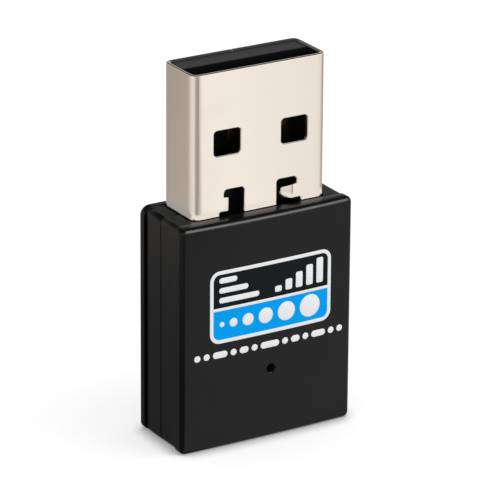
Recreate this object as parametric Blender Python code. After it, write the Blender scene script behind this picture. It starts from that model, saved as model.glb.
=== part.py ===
"""USB wifi adapter: a two-part plastic housing that holds a small circuit board and a USB type A plug.

The adapter stands on its closed end with the plug up. X runs across the plug, Y from the printed
front face to the back, Z up. The origin is on the bottom face, at the middle of the housing.
"""
from math import cos, pi, radians, sin

import bmesh
import bpy
from mathutils import Matrix

MM = 0.001

# Housing
BODY_WIDTH = 15.6 * MM          # across the front face's cap
BODY_DEPTH = 6.8 * MM
BODY_HEIGHT = 18.8 * MM
CAP_DEPTH = 1.2 * MM            # the front face's cap
CAP_CORNER = 0.5 * MM
CAP_FILLET = 0.42 * MM          # around the front face
CAP_OVERHANG = 0.1 * MM         # the cap is this much wider than the rim on each side
RIM_DEPTH = 0.69 * MM           # the rim around the back
RIM_CORNER = 0.58 * MM
RIM_UPPER_CORNER = 0.8 * MM
RIM_FILLET = 0.2 * MM
SHELL_STEP = 0.03 * MM          # the walls lie this far inside the rim
SHELL_CORNER = 0.5 * MM
GROOVE_WIDTH = 0.55 * MM        # the shadow groove in front of the rim, at the sides and the bottom
GROOVE_DEPTH = 0.28 * MM        # from the rim's edge
GROOVE_LINE = 0.06 * MM         # the same along the top, where only a fine line is left
FRONT_WALL = 1.0 * MM
SIDE_WALL = 1.0 * MM
REAR_WALL = 0.75 * MM
CAVITY_CORNER = 0.4 * MM
LIP_CORNER = 0.3 * MM
SEAM_FROM_FRONT = 3.52 * MM     # middle of the seam between the covers
SEAM_GAP = 0.1 * MM
LIP_LENGTH = 0.7 * MM           # the rear cover's lip, inside the front cover's walls
LIP_THICKNESS = 0.4 * MM
LIP_PLAY = 0.06 * MM
PINHOLE_RADIUS = 0.38 * MM      # the status light shows through it
PINHOLE_HEIGHT = 5.85 * MM
PINHOLE_SHIFT = 0.28 * MM       # to the right of the housing's middle
POST_RADIUS = 0.5 * MM          # posts that clamp the board
POST_INSET = 0.85 * MM          # from the board's edges to a post's axis
STOP_WIDTH = 7.0 * MM           # ledge under the plug's front wall
STOP_HEIGHT = 1.0 * MM
PAD_WIDTH = 1.2 * MM            # pads that keep the plug from rocking
PAD_SPACING = 8.0 * MM
PAD_HEIGHT = 2.2 * MM

# USB plug
PLUG_WIDTH = 12.0 * MM
PLUG_DEPTH = 4.5 * MM
PLUG_REACH = 11.75 * MM         # out of the housing
PLUG_SEAT = 4.2 * MM            # inside the housing
PLUG_PLAY = 0.1 * MM            # around the plug in the housing's opening
SEAT_PLAY = 0.05 * MM           # between the plug and what it rests on
SHEET = 0.3 * MM
FOLD_WIDTH = 0.92 * MM          # the folds are oval: longer on the wide faces than on the sides
FOLD_DEPTH = 0.44 * MM
SHEET_SEAM = 0.06 * MM          # butt joint of the folded sheet, at the back
HOLE_WIDTH = 2.4 * MM
HOLE_HEIGHT = 2.1 * MM
HOLE_CORNER = 0.3 * MM
HOLE_SPACING = 6.06 * MM
HOLE_FROM_TIP = 5.79 * MM
PUNCH_SHIFT = 0.1 * MM          # the holes and the latch cut-outs sit off the plug's middle
LEG_WIDTH = 1.8 * MM            # solder legs beside the board
LEG_LENGTH = 2.6 * MM

# Latch cut-outs at the plug's root, each with a bent-in tab
LATCH_INNER = 1.46 * MM         # from the middle of the pair
LATCH_WIDTH = 1.84 * MM
LATCH_RISE = 2.1 * MM           # above the housing
LATCH_DROP = 0.7 * MM           # below the housing's top
LATCH_CORNER = 0.2 * MM
TAB_LENGTH = 1.4 * MM
TAB_ANGLE = 39                  # degrees, into the plug
TAB_RISE = 1.4 * MM             # the tab's upper edge at its root
TAB_FOOT = 0.1 * MM             # the tab's lower edge at its root
TAB_TAPER = 0.36 * MM           # how much the upper edge drops at the free end
TAB_HEEL = 0.26 * MM            # how much the lower edge rises there
TAB_ROOT = 0.05 * MM            # how deep the tab is set into the sheet
TAB_PLAY = 0.12 * MM            # around the tab in the insulator

# Insulator and contacts
INSULATOR_PLAY = 0.05 * MM
TONGUE_OFFSET = 0.08 * MM       # the tongue's front lies this far behind the plug's middle
MOUTH_DEPTH = 8.9 * MM
TONGUE_RECESS = 0.12 * MM
CONTACT_WIDTH = 1.0 * MM
CONTACT_THICKNESS = 0.25 * MM
CONTACT_PROUD = 0.1 * MM        # above the tongue
CONTACT_PLAY = 0.03 * MM
POWER_SPREAD = 3.5 * MM         # from the plug's middle to the two outer contacts
DATA_SPREAD = 1.0 * MM
POWER_SETBACK = 1.2 * MM        # from the tip to the outer contacts' ends
DATA_SETBACK = 2.2 * MM
TAIL_WIDTH = 0.8 * MM
TAIL_ON_BOARD = 1.7 * MM

# Circuit board
BOARD_THICKNESS = 0.8 * MM
BOARD_PLAY = 0.15 * MM
BOARD_CORNER = 0.4 * MM
SOLDER = 0.02 * MM              # under everything on the board
POST_PLAY = 0.03 * MM

# What the board carries: length, width and height of each
CHIP_SIDE = 8.0 * MM
CHIP_HEIGHT = 0.85 * MM
CHIP_CORNER = 0.08 * MM
DIMPLE_INSET = 1.0 * MM
DIMPLE_RADIUS = 0.35 * MM
DIMPLE_DEPTH = 0.06 * MM
CRYSTAL_SIZE = (3.2 * MM, 2.5 * MM, 0.75 * MM)
CRYSTAL_STEP = 0.2 * MM         # the lid is this much smaller than the tray all round
LED_SIZE = (1.6 * MM, 0.8 * MM, 0.6 * MM)
LED_STEP = 0.3 * MM
REGULATOR_SIZE = (2.9 * MM, 1.6 * MM, 1.1 * MM)
REGULATOR_PITCH = 0.95 * MM
REGULATOR_LEG = 0.5 * MM
LEG_THICKNESS = 0.15 * MM
INDUCTOR_SIZE = (2.0 * MM, 1.6 * MM, 1.0 * MM)
INDUCTOR_CORNER = 0.25 * MM
PART_SIZE = (1.0 * MM, 0.5 * MM, 0.5 * MM)
RESISTOR_SIZE = (1.0 * MM, 0.5 * MM, 0.35 * MM)
POWER_PART_SIZE = (1.6 * MM, 0.8 * MM, 0.8 * MM)
FILTER_SIZE = (1.6 * MM, 0.8 * MM, 0.6 * MM)
PAD_LIP = 0.03 * MM             # an end cap stands this far out from its block
PART_PITCH = 1.4 * MM
PART_GAP = 0.5 * MM             # between neighbours on the board
COPPER = 0.05 * MM
ANTENNA_INSET = 0.6 * MM        # from the board's closed end to the trace's middle
ANTENNA_HEIGHT = 1.8 * MM
ANTENNA_FEED = 0.2 * MM         # from the folds up to the filter
ANTENNA_PITCH = 0.75 * MM
ANTENNA_FOLDS = 4
ANTENNA_TRACE = 0.35 * MM

CORNER_STEPS = 5
BOARD_GREEN = (0.02, 0.09, 0.05)

# Worked out from the sizes above
BODY_TOP = BODY_HEIGHT
FRONT = -BODY_DEPTH / 2
BACK = BODY_DEPTH / 2
CAVITY_FRONT = FRONT + FRONT_WALL
CAVITY_BACK = BACK - REAR_WALL
SEAM = FRONT + SEAM_FROM_FRONT
PLUG_Y = CAVITY_BACK - SEAT_PLAY - PLUG_DEPTH / 2
PLUG_FRONT = PLUG_Y - PLUG_DEPTH / 2
PLUG_TIP = BODY_TOP + PLUG_REACH
PLUG_END = BODY_TOP - PLUG_SEAT
TONGUE_FRONT = PLUG_Y + TONGUE_OFFSET
CONTACT_FRONT = TONGUE_FRONT - CONTACT_PROUD
CONTACT_BACK = CONTACT_FRONT + CONTACT_THICKNESS
BOARD_FRONT = CONTACT_BACK + SOLDER
BOARD_BACK = BOARD_FRONT + BOARD_THICKNESS
BOARD_HALF = BODY_WIDTH / 2 - CAP_OVERHANG - SIDE_WALL - BOARD_PLAY
BOARD_BOTTOM = SIDE_WALL + BOARD_PLAY
BOARD_TOP = PLUG_END - BOARD_PLAY
BOARD_SHOULDER = PLUG_END - LEG_LENGTH - BOARD_PLAY
TAIL_END = BOARD_TOP - TAIL_ON_BOARD
TOP_ROW_Z = BOARD_SHOULDER - PART_GAP / 2 - CRYSTAL_SIZE[1] / 2
CRYSTAL_X = -(BOARD_HALF - PART_GAP - CRYSTAL_SIZE[0] / 2)
REGULATOR_X = BOARD_HALF - PART_GAP - REGULATOR_SIZE[0] / 2
CHIP_Z = (BOARD_BOTTOM + BOARD_SHOULDER) / 2
ANTENNA_END = BOARD_HALF - POST_INSET - POST_RADIUS - PART_GAP / 2 - ANTENNA_TRACE / 2
ANTENNA_START = ANTENNA_END - ANTENNA_FOLDS * ANTENNA_PITCH
CONTACTS = {"contact_vbus": (-POWER_SPREAD, POWER_SETBACK), "contact_data_minus": (-DATA_SPREAD, DATA_SETBACK),
            "contact_data_plus": (DATA_SPREAD, DATA_SETBACK), "contact_ground": (POWER_SPREAD, POWER_SETBACK)}


def clear_scene():
    """Empties the file and makes the two collections, one for the pieces and one for the cutters."""
    for old in list(bpy.data.objects):
        bpy.data.objects.remove(old, do_unlink=True)
    for name in ("usb_wifi_adapter", "cutters"):
        collection = bpy.data.collections.new(name)
        bpy.context.scene.collection.children.link(collection)


def material(name, colour, roughness, metallic=0.0):
    """A Principled BSDF material."""
    made = bpy.data.materials.new(name)
    made.use_nodes = True
    shader = made.node_tree.nodes["Principled BSDF"]
    shader.inputs["Base Color"].default_value = (*colour, 1.0)
    shader.inputs["Roughness"].default_value = roughness
    shader.inputs["Metallic"].default_value = metallic
    return made


def keep(piece, colour, roughness, metallic=0.0):
    """Puts a finished piece in the object's collection with a material of its own."""
    bpy.data.collections["usb_wifi_adapter"].objects.link(piece)
    piece.data.materials.clear()
    piece.data.materials.append(material(piece.name, colour, roughness, metallic))
    return piece


def hidden(cutter):
    """Puts a cutter in the cutters' collection, out of sight."""
    bpy.data.collections["cutters"].objects.link(cutter)
    cutter.hide_render = True
    cutter.display_type = "WIRE"
    return cutter


def combine(piece, tool, operation):
    """Adds a Boolean modifier to a piece and hides the tool that it uses."""
    hidden(tool)
    boolean = piece.modifiers.new(tool.name, "BOOLEAN")
    boolean.operation = operation
    boolean.solver = "EXACT"
    boolean.object = tool


def cut(piece, *tools):
    for tool in tools:
        combine(piece, tool, "DIFFERENCE")


def join(piece, *tools):
    for tool in tools:
        combine(piece, tool, "UNION")


def box(name, x, y, z):
    """A box between two values on each axis."""
    mesh = bpy.data.meshes.new(name)
    shape = bmesh.new()
    bmesh.ops.create_cube(shape, size=1.0)
    size = Matrix.Diagonal((x[1] - x[0], y[1] - y[0], z[1] - z[0], 1.0))
    middle = ((x[0] + x[1]) / 2, (y[0] + y[1]) / 2, (z[0] + z[1]) / 2)
    bmesh.ops.transform(shape, matrix=Matrix.Translation(middle) @ size, verts=shape.verts)
    shape.to_mesh(mesh)
    shape.free()
    return bpy.data.objects.new(name, mesh)


def rod(name, x, z, radius, y, sides=16):
    """A round bar along Y."""
    mesh = bpy.data.meshes.new(name)
    shape = bmesh.new()
    bmesh.ops.create_cone(shape, cap_ends=True, segments=sides, radius1=radius, radius2=radius,
                          depth=y[1] - y[0])
    place = Matrix.Translation((x, (y[0] + y[1]) / 2, z)) @ Matrix.Rotation(pi / 2, 4, "X")
    bmesh.ops.transform(shape, matrix=place, verts=shape.verts)
    shape.to_mesh(mesh)
    shape.free()
    return bpy.data.objects.new(name, mesh)


def rounded_rectangle(width, height, radius, middle=(0.0, 0.0), upper_radius=None):
    """Outline of a rectangle with round corners. The upper two can have a radius of their own."""
    points = []
    for corner, (right, upper) in enumerate([(1, -1), (1, 1), (-1, 1), (-1, -1)]):
        rounding = upper_radius if upper_radius and upper > 0 else radius
        for step in range(CORNER_STEPS + 1):
            angle = radians(90 * (corner - 1 + step / CORNER_STEPS))
            points.append((middle[0] + right * (width / 2 - rounding) + rounding * cos(angle),
                           middle[1] + upper * (height / 2 - rounding) + rounding * sin(angle)))
    return points


def ribbon(path, width):
    """Outline of a flat trace of one width along a path with square turns."""
    def unit(start, end):
        length = ((end[0] - start[0]) ** 2 + (end[1] - start[1]) ** 2) ** 0.5
        return (end[0] - start[0]) / length, (end[1] - start[1]) / length
    sides = ([], [])
    for index, point in enumerate(path):
        before = unit(*path[index - 1:index + 1]) if index else unit(*path[:2])
        after = unit(*path[index:index + 2]) if index + 1 < len(path) else before
        for side, sign in zip(sides, (1, -1)):
            shift = [(before[1] + after[1]) / (1 if before != after else 2),
                     -(before[0] + after[0]) / (1 if before != after else 2)]
            side.append((point[0] + sign * shift[0] * width / 2, point[1] + sign * shift[1] * width / 2))
    return sides[0] + sides[1][::-1]


def plate(name, outlines, low, high, along="Y"):
    """A flat outline, with any holes after it, drawn out along one axis from low to high.

    Along Y the outline's two values are X and Z; along Z they are X and Y.
    """
    curve = bpy.data.curves.new(name, "CURVE")
    curve.dimensions = "2D"
    curve.fill_mode = "BOTH"
    curve.extrude = (high - low) / 2
    for outline in outlines:
        spline = curve.splines.new("POLY")
        spline.points.add(len(outline) - 1)
        for point, (across, up) in zip(spline.points, outline):
            point.co = (across, up, 0.0, 1.0)
        spline.use_cyclic_u = True
    drawn = bpy.data.objects.new(name + "_outline", curve)
    bpy.context.scene.collection.objects.link(drawn)
    middle = (low + high) / 2
    if along == "Y":
        drawn.matrix_world = Matrix.Translation((0.0, middle, 0.0)) @ Matrix.Rotation(pi / 2, 4, "X")
    else:
        drawn.matrix_world = Matrix.Translation((0.0, 0.0, middle))
    bpy.context.view_layer.update()
    mesh = bpy.data.meshes.new_from_object(drawn.evaluated_get(bpy.context.evaluated_depsgraph_get()))
    solid = bpy.data.objects.new(name, mesh)
    solid.matrix_world = drawn.matrix_world
    bpy.data.objects.remove(drawn, do_unlink=True)
    bpy.data.curves.remove(curve)
    shape = bmesh.new()
    shape.from_mesh(mesh)
    bmesh.ops.remove_doubles(shape, verts=shape.verts, dist=1e-7)
    bmesh.ops.recalc_face_normals(shape, faces=shape.faces)
    shape.to_mesh(mesh)
    shape.free()
    return solid


def round_rim(solid, height, radius, segments=3):
    """Rounds the edges of a plate that lie at one height along its own Z axis."""
    shape = bmesh.new()
    shape.from_mesh(solid.data)
    rim = [edge for edge in shape.edges
           if all(abs(vert.co.z - height) < 1e-6 for vert in edge.verts)
           and abs(edge.link_faces[0].normal.dot(edge.link_faces[1].normal)) < 0.5]
    bmesh.ops.bevel(shape, geom=rim, offset=radius, segments=segments, profile=0.5, affect="EDGES")
    shape.to_mesh(solid.data)
    shape.free()


def body_outline(inset, radius, upper_radius=None, upper_inset=None):
    """The rim's outline from the front, drawn in by an inset, or at the top by one of its own."""
    upper_inset = inset if upper_inset is None else upper_inset
    return rounded_rectangle(BODY_WIDTH - 2 * (CAP_OVERHANG + inset), BODY_HEIGHT - inset - upper_inset,
                             radius, (0.0, (BODY_HEIGHT + inset - upper_inset) / 2), upper_radius)


def plug_outline(inset):
    """The plug's section, drawn in by an inset."""
    points = []
    for corner, (right, back) in enumerate([(1, -1), (1, 1), (-1, 1), (-1, -1)]):
        for step in range(CORNER_STEPS + 1):
            angle = radians(90 * (corner - 1 + step / CORNER_STEPS))
            points.append((right * (PLUG_WIDTH / 2 - FOLD_WIDTH) + (FOLD_WIDTH - inset) * cos(angle),
                           PLUG_Y + back * (PLUG_DEPTH / 2 - FOLD_DEPTH) + (FOLD_DEPTH - inset) * sin(angle)))
    return points


def plug_opening(name):
    """Cutter for the opening in the housing's top and the pocket below it that hold the plug."""
    return plate(name, [plug_outline(-PLUG_PLAY)], PLUG_END - LEG_LENGTH - SEAT_PLAY,
                 BODY_TOP + SIDE_WALL, "Z")


def front_cover():
    """Front half of the housing: the face, its cap and the walls up to the seam."""
    face = rounded_rectangle(BODY_WIDTH, BODY_HEIGHT, CAP_CORNER, (0.0, BODY_HEIGHT / 2))
    cap = plate("front_cover", [face], FRONT, FRONT + CAP_DEPTH)
    round_rim(cap, CAP_DEPTH / 2, CAP_FILLET)
    wall_end = SEAM - SEAM_GAP / 2
    join(cap, plate("front_walls", [body_outline(SHELL_STEP, SHELL_CORNER)],
                    FRONT + CAP_DEPTH / 2, wall_end))
    cut(cap, plate("front_cavity", [body_outline(SIDE_WALL, CAVITY_CORNER)],
                   CAVITY_FRONT, SEAM + BODY_DEPTH))
    rebate = SIDE_WALL - LIP_THICKNESS - LIP_PLAY
    cut(cap, plate("lip_rebate", [body_outline(rebate, LIP_CORNER + LIP_PLAY)],
                   SEAM - LIP_LENGTH - LIP_PLAY, SEAM + BODY_DEPTH),
        plug_opening("front_opening"))
    for side in (-1, 1):
        x = side * (BOARD_HALF - POST_INSET)
        join(cap, rod(f"front_post_{side}", x, BOARD_BOTTOM + POST_INSET, POST_RADIUS,
                      (CAVITY_FRONT - FRONT_WALL / 2, BOARD_FRONT - POST_PLAY)))
        middle = side * PAD_SPACING / 2
        join(cap, box(f"plug_pad_{side}", (middle - PAD_WIDTH / 2, middle + PAD_WIDTH / 2),
                      (CAVITY_FRONT - FRONT_WALL / 2, PLUG_FRONT - SEAT_PLAY),
                      (PLUG_END + SEAT_PLAY, PLUG_END + PAD_HEIGHT)))
    join(cap, box("plug_stop", (-STOP_WIDTH / 2, STOP_WIDTH / 2),
                  (CAVITY_FRONT - FRONT_WALL / 2, PLUG_FRONT + SHEET),
                  (PLUG_END - SEAT_PLAY - STOP_HEIGHT, PLUG_END - SEAT_PLAY)))
    cut(cap, rod("pinhole", PINHOLE_SHIFT, PINHOLE_HEIGHT, PINHOLE_RADIUS,
                 (FRONT - FRONT_WALL, CAVITY_FRONT + FRONT_WALL / 2), 24))
    return keep(cap, (0.018, 0.018, 0.019), 0.42)


def rear_cover():
    """Rear half of the housing: the back plate with its rim, the groove and the walls up to the seam."""
    rim = plate("rear_cover", [body_outline(0.0, RIM_CORNER, RIM_UPPER_CORNER)], BACK - RIM_DEPTH, BACK)
    round_rim(rim, -RIM_DEPTH / 2, RIM_FILLET)
    walls_end = BACK - RIM_DEPTH - GROOVE_WIDTH
    floor_corner = SHELL_CORNER - GROOVE_DEPTH + SHELL_STEP
    join(rim, plate("groove_floor", [body_outline(GROOVE_DEPTH, floor_corner, SHELL_CORNER, GROOVE_LINE)],
                    walls_end - GROOVE_WIDTH, BACK - RIM_DEPTH / 2),
         plate("rear_walls", [body_outline(SHELL_STEP, SHELL_CORNER)], SEAM + SEAM_GAP / 2, walls_end))
    lip = SIDE_WALL - LIP_THICKNESS
    join(rim, plate("lip", [body_outline(lip, LIP_CORNER)], SEAM - LIP_LENGTH, SEAM + LIP_LENGTH))
    cut(rim, plate("rear_cavity", [body_outline(SIDE_WALL, CAVITY_CORNER)],
                   SEAM - BODY_DEPTH, CAVITY_BACK))
    cut(rim, plug_opening("rear_opening"))
    for side in (-1, 1):
        for z in (BOARD_BOTTOM + POST_INSET, BOARD_SHOULDER - POST_INSET):
            join(rim, rod(f"rear_post_{side}_{z:.4f}", side * (BOARD_HALF - POST_INSET), z, POST_RADIUS,
                          (BOARD_BACK + POST_PLAY, CAVITY_BACK + REAR_WALL / 2)))
    return keep(rim, (0.016, 0.016, 0.017), 0.42)


def latch_side(side):
    """The range in X that a latch cut-out takes up, from low to high."""
    ends = (PUNCH_SHIFT + side * LATCH_INNER, PUNCH_SHIFT + side * (LATCH_INNER + LATCH_WIDTH))
    return tuple(sorted(ends))


def latch_tab(name, side):
    """A tab that the latch cut-out leaves, bent into the plug at its free end."""
    tab = plate(name, [[(0.0, TAB_FOOT), (-side * TAB_LENGTH, TAB_FOOT + TAB_HEEL),
                        (-side * TAB_LENGTH, TAB_RISE - TAB_TAPER), (0.0, TAB_RISE)]], 0.0, SHEET)
    root = (PUNCH_SHIFT + side * (LATCH_INNER + LATCH_WIDTH + TAB_ROOT), PLUG_FRONT + TAB_ROOT / 2, BODY_TOP)
    tab.matrix_world = (Matrix.Translation(root) @ Matrix.Rotation(-side * radians(TAB_ANGLE), 4, "Z")
                        @ tab.matrix_world)
    return tab


def plug_shell():
    """The plug's folded sheet metal shell, with its holes, latch tabs and solder legs."""
    leg_end = PLUG_END - LEG_LENGTH
    shell = plate("plug_shell", [plug_outline(0.0), plug_outline(SHEET)], leg_end, PLUG_TIP, "Z")
    beyond = PLUG_WIDTH
    across = (-beyond, beyond)
    below = (leg_end - beyond, PLUG_END)
    cut(shell, box("legs_front", across, (PLUG_Y - beyond, PLUG_Y - LEG_WIDTH / 2), below),
        box("legs_back", across, (PLUG_Y + LEG_WIDTH / 2, PLUG_Y + beyond), below),
        box("sheet_seam", (-SHEET_SEAM / 2, SHEET_SEAM / 2),
            (PLUG_Y + TONGUE_OFFSET, PLUG_Y + PLUG_DEPTH), (leg_end - SHEET, PLUG_TIP + SHEET)))
    for side in (-1, 1):
        hole = rounded_rectangle(HOLE_WIDTH, HOLE_HEIGHT, HOLE_CORNER,
                                 (PUNCH_SHIFT + side * HOLE_SPACING / 2, PLUG_TIP - HOLE_FROM_TIP))
        cut(shell, plate(f"hole_{side}", [hole], PLUG_Y - PLUG_DEPTH, PLUG_Y + PLUG_DEPTH))
        low, high = latch_side(side)
        latch = rounded_rectangle(LATCH_WIDTH, LATCH_RISE + LATCH_DROP, LATCH_CORNER,
                                  ((low + high) / 2, BODY_TOP + (LATCH_RISE - LATCH_DROP) / 2))
        cut(shell, plate(f"latch_{side}", [latch], PLUG_Y - PLUG_DEPTH, PLUG_Y))
        join(shell, latch_tab(f"tab_{side}", side))
    return keep(shell, (0.78, 0.75, 0.71), 0.22, 1.0)


def plug_insulator():
    """The plug's plastic core: a block at the root and the tongue that carries the contacts."""
    block_end = PLUG_END + SEAT_PLAY
    core = plate("plug_insulator", [plug_outline(SHEET + INSULATOR_PLAY)], block_end,
                 PLUG_TIP - TONGUE_RECESS, "Z")
    cut(core, box("mouth", (-PLUG_WIDTH, PLUG_WIDTH),
                  (PLUG_Y - PLUG_DEPTH, TONGUE_FRONT), (PLUG_TIP - MOUTH_DEPTH, PLUG_TIP + MOUTH_DEPTH)))
    tab_reach = TAB_LENGTH * sin(radians(TAB_ANGLE)) + SHEET
    for side in (-1, 1):
        low, high = latch_side(side)
        cut(core, box(f"tab_pocket_{side}", (low - TAB_PLAY, high + TAB_PLAY),
                      (PLUG_Y - PLUG_DEPTH, PLUG_FRONT + tab_reach + TAB_PLAY),
                      (BODY_TOP - LATCH_DROP, BODY_TOP + LATCH_RISE)))
    for name, (x, tip_gap) in CONTACTS.items():
        half = CONTACT_WIDTH / 2 + CONTACT_PLAY
        cut(core, box(f"{name}_slot", (x - half, x + half),
                      (CONTACT_FRONT - CONTACT_PLAY, CONTACT_BACK + CONTACT_PLAY),
                      (block_end - LEG_LENGTH, PLUG_TIP - tip_gap + CONTACT_PLAY)))
    return keep(core, (0.012, 0.012, 0.012), 0.45)


def contact(name, x, tip_gap):
    """A flat contact along the tongue and through the block, with a narrower tail on the board."""
    wide = CONTACT_WIDTH / 2
    narrow = TAIL_WIDTH / 2
    tip = PLUG_TIP - tip_gap
    outline = [(x - narrow, TAIL_END), (x + narrow, TAIL_END), (x + narrow, PLUG_END),
               (x + wide, PLUG_END + SHEET)]
    for step in range(CORNER_STEPS + 1):
        angle = radians(90 * step / CORNER_STEPS)
        outline.append((x + wide - SHEET * (1 - cos(angle)), tip - SHEET * (1 - sin(angle))))
    for step in range(CORNER_STEPS + 1):
        angle = radians(90 * (1 + step / CORNER_STEPS))
        outline.append((x - wide + SHEET * (1 + cos(angle)), tip - SHEET * (1 - sin(angle))))
    outline += [(x - wide, PLUG_END + SHEET), (x - narrow, PLUG_END)]
    return keep(plate(name, [outline], CONTACT_FRONT, CONTACT_BACK), (0.83, 0.62, 0.25), 0.25, 1.0)


def circuit_board():
    """The board, with a neck that goes up between the plug's solder legs."""
    neck = PLUG_WIDTH / 2 - SHEET - BOARD_PLAY
    outline = [(-BOARD_HALF + BOARD_CORNER, BOARD_BOTTOM), (BOARD_HALF - BOARD_CORNER, BOARD_BOTTOM),
               (BOARD_HALF, BOARD_BOTTOM + BOARD_CORNER), (BOARD_HALF, BOARD_SHOULDER),
               (neck, BOARD_SHOULDER), (neck, BOARD_TOP), (-neck, BOARD_TOP), (-neck, BOARD_SHOULDER),
               (-BOARD_HALF, BOARD_SHOULDER), (-BOARD_HALF, BOARD_BOTTOM + BOARD_CORNER)]
    return keep(plate("circuit_board", [outline], BOARD_FRONT, BOARD_BACK), BOARD_GREEN, 0.4)


def layer(face, bottom, top):
    """The range in Y of a layer between two heights above one face of the board."""
    if face == "front":
        return BOARD_FRONT - SOLDER - top, BOARD_FRONT - SOLDER - bottom
    return BOARD_BACK + SOLDER + bottom, BOARD_BACK + SOLDER + top


def two_pad_part(name, face, x, z, size, upright, colour, roughness=0.5):
    """A ceramic or resin block with a metal cap on each end, soldered flat on the board."""
    length, width, height = size
    cap = length / 4
    waist = width / 2 - PAD_LIP
    half = [(-length / 2, -width / 2), (-length / 2 + cap, -width / 2), (-length / 2 + cap, -waist),
            (length / 2 - cap, -waist), (length / 2 - cap, -width / 2), (length / 2, -width / 2)]
    outline = half + [(-across, -up) for across, up in half]
    if upright:
        outline = [(-up, across) for across, up in outline]
    outline = [(x + across, z + up) for across, up in outline]
    return keep(plate(name, [outline], *layer(face, 0.0, height)), colour, roughness)


def slab(name, face, x, z, width, height, corner, bottom, top):
    """A block with round corners between two heights above one face of the board."""
    return plate(name, [rounded_rectangle(width, height, corner, (x, z))], *layer(face, bottom, top))


def wifi_chip():
    """The radio chip, a square flat package with a dimple at its first contact."""
    half = CHIP_SIDE / 2
    chip = slab("wifi_chip", "back", 0.0, CHIP_Z, CHIP_SIDE, CHIP_SIDE, CHIP_CORNER, 0.0, CHIP_HEIGHT)
    cut(chip, rod("chip_dimple", half - DIMPLE_INSET, CHIP_Z + half - DIMPLE_INSET, DIMPLE_RADIUS,
                  layer("back", CHIP_HEIGHT - DIMPLE_DEPTH, 2 * CHIP_HEIGHT)))
    return keep(chip, (0.02, 0.02, 0.022), 0.5)


def crystal():
    """The quartz crystal: a ceramic tray under a metal lid."""
    length, width, height = CRYSTAL_SIZE
    tray = slab("crystal", "front", CRYSTAL_X, TOP_ROW_Z, length, width, CHIP_CORNER, 0.0, height * 0.6)
    join(tray, slab("crystal_lid", "front", CRYSTAL_X, TOP_ROW_Z, length - 2 * CRYSTAL_STEP,
                    width - 2 * CRYSTAL_STEP, CRYSTAL_STEP, height * 0.3, height))
    return keep(tray, (0.7, 0.68, 0.62), 0.3, 0.9)


def status_led():
    """The status light behind the pinhole: a flat base with a clear block on it."""
    length, width, height = LED_SIZE
    base = slab("status_led", "front", PINHOLE_SHIFT, PINHOLE_HEIGHT, length, width, CHIP_CORNER,
                0.0, height / 2)
    join(base, slab("led_lens", "front", PINHOLE_SHIFT, PINHOLE_HEIGHT, length - 2 * LED_STEP,
                    width - 2 * CHIP_CORNER, CHIP_CORNER, height / 4, height))
    return keep(base, (0.75, 0.78, 0.7), 0.3)


def voltage_regulator():
    """A small power chip with two legs above and three below."""
    length, width, height = REGULATOR_SIZE
    package = slab("voltage_regulator", "front", REGULATOR_X, TOP_ROW_Z, length, width, CHIP_CORNER,
                   LEG_THICKNESS / 2, height)
    for row, places in ((1, (-1, 1)), (-1, (-1, 0, 1))):
        for place in places:
            x = REGULATOR_X + place * REGULATOR_PITCH
            near, far = sorted((TOP_ROW_Z + row * (width / 2 - LEG_THICKNESS),
                                TOP_ROW_Z + row * (width / 2 + REGULATOR_LEG)))
            join(package, box(f"regulator_leg_{row}_{place}",
                              (x - REGULATOR_LEG / 2, x + REGULATOR_LEG / 2),
                              layer("front", 0.0, LEG_THICKNESS), (near, far)))
    return keep(package, (0.03, 0.03, 0.03), 0.5)


def power_inductor():
    """The power coil: two square flanges with the round winding between them."""
    width, height, thickness = INDUCTOR_SIZE
    flange = thickness / 4
    x = (CRYSTAL_X + CRYSTAL_SIZE[0] / 2 + REGULATOR_X - REGULATOR_SIZE[0] / 2) / 2
    coil = slab("power_inductor", "front", x, TOP_ROW_Z, width, height, INDUCTOR_CORNER, 0.0, flange)
    join(coil, rod("winding", x, TOP_ROW_Z, height / 2 - CHIP_CORNER,
                   layer("front", flange / 2, thickness - flange / 2)),
         slab("upper_flange", "front", x, TOP_ROW_Z, width, height, INDUCTOR_CORNER,
              thickness - flange, thickness))
    return keep(coil, (0.09, 0.085, 0.08), 0.5)


def antenna(name, side):
    """A printed antenna: one thin copper trace that winds along the board's closed end."""
    low = BOARD_BOTTOM + ANTENNA_INSET
    x = ANTENNA_START
    path = [(x, low + ANTENNA_HEIGHT + ANTENNA_FEED), (x, low)]
    for fold in range(ANTENNA_FOLDS):
        start, end = (low, low + ANTENNA_HEIGHT) if fold % 2 == 0 else (low + ANTENNA_HEIGHT, low)
        x += ANTENNA_PITCH
        path += [(x, start), (x, end)]
    trace = ribbon([(side * across, up) for across, up in path], ANTENNA_TRACE)
    return keep(plate(name, [trace], *layer("front", 0.0, COPPER)), (0.72, 0.45, 0.2), 0.35, 1.0)


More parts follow.
